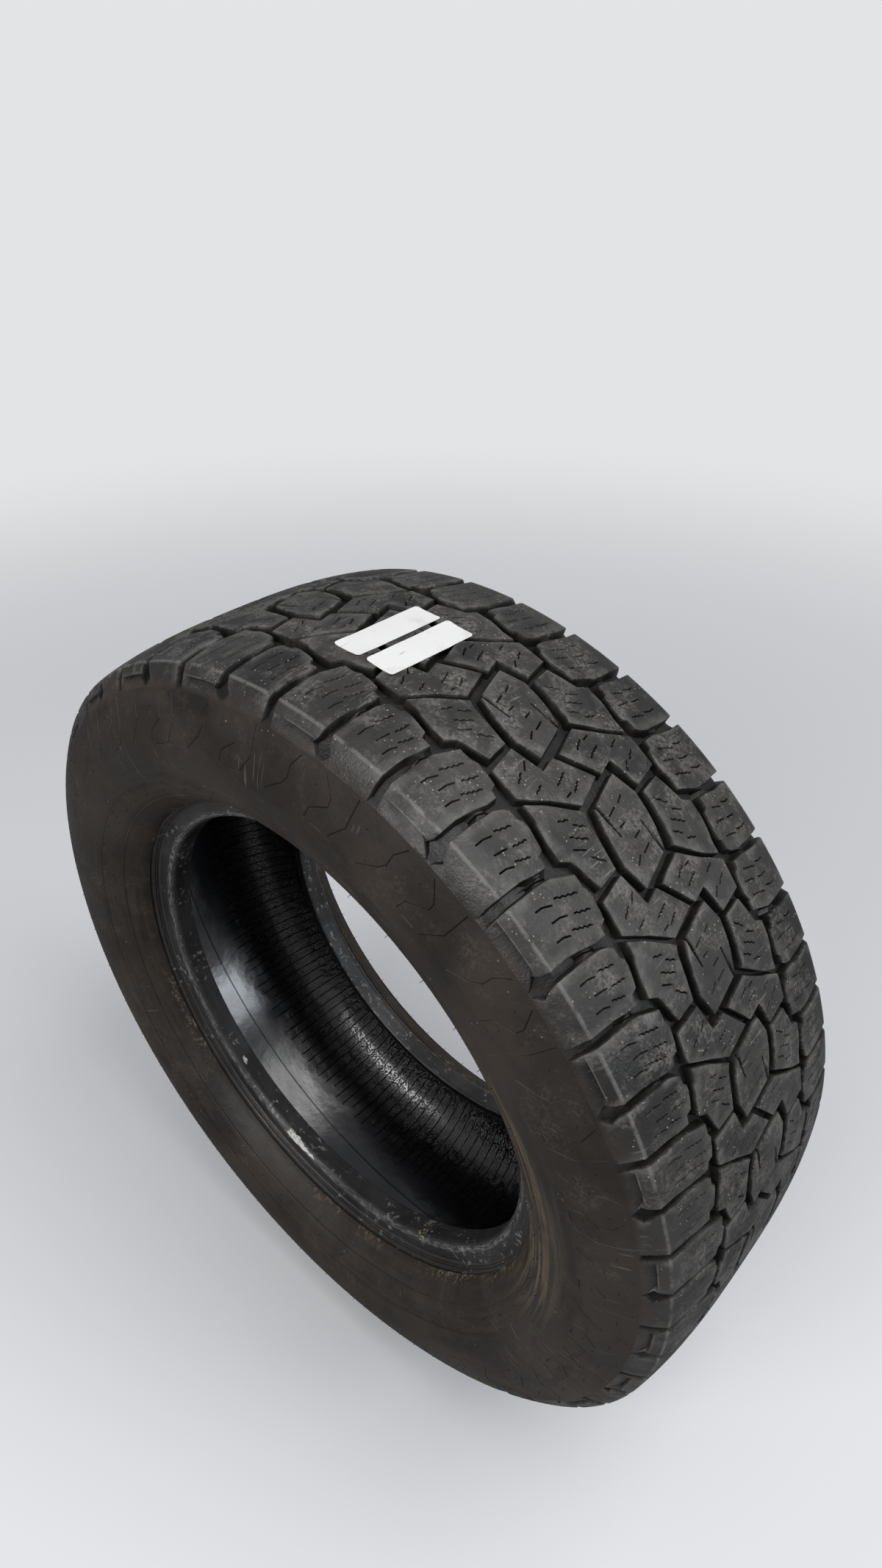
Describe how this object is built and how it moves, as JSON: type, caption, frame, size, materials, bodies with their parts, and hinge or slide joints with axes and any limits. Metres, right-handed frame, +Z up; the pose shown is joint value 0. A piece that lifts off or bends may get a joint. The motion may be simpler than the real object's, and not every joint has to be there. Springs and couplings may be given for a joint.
{
  "type": "worn pneumatic tyre",
  "caption": "Worn all-terrain car tyre off its rim, with a zigzag block tread, standing on its tread.",
  "frame": {"origin": "centre of the tyre, on its axis at mid-width", "axes": "+Y along the tyre's axis, towards the far sidewall; +Z up, with the tyre standing on its tread; +X to the right"},
  "size_m": [0.78, 0.2858, 0.7773],
  "materials": {
    "tyre": "worn, dusty rubber: grey tread tops, brown-grey sidewalls, black grooves and liner",
    "paper": "matt white stock-label paper"
  },
  "bodies": {
    "root": {"tyre": "tyre", "upper_label": "paper", "lower_label": "paper"}
  },
  "joints": []
}
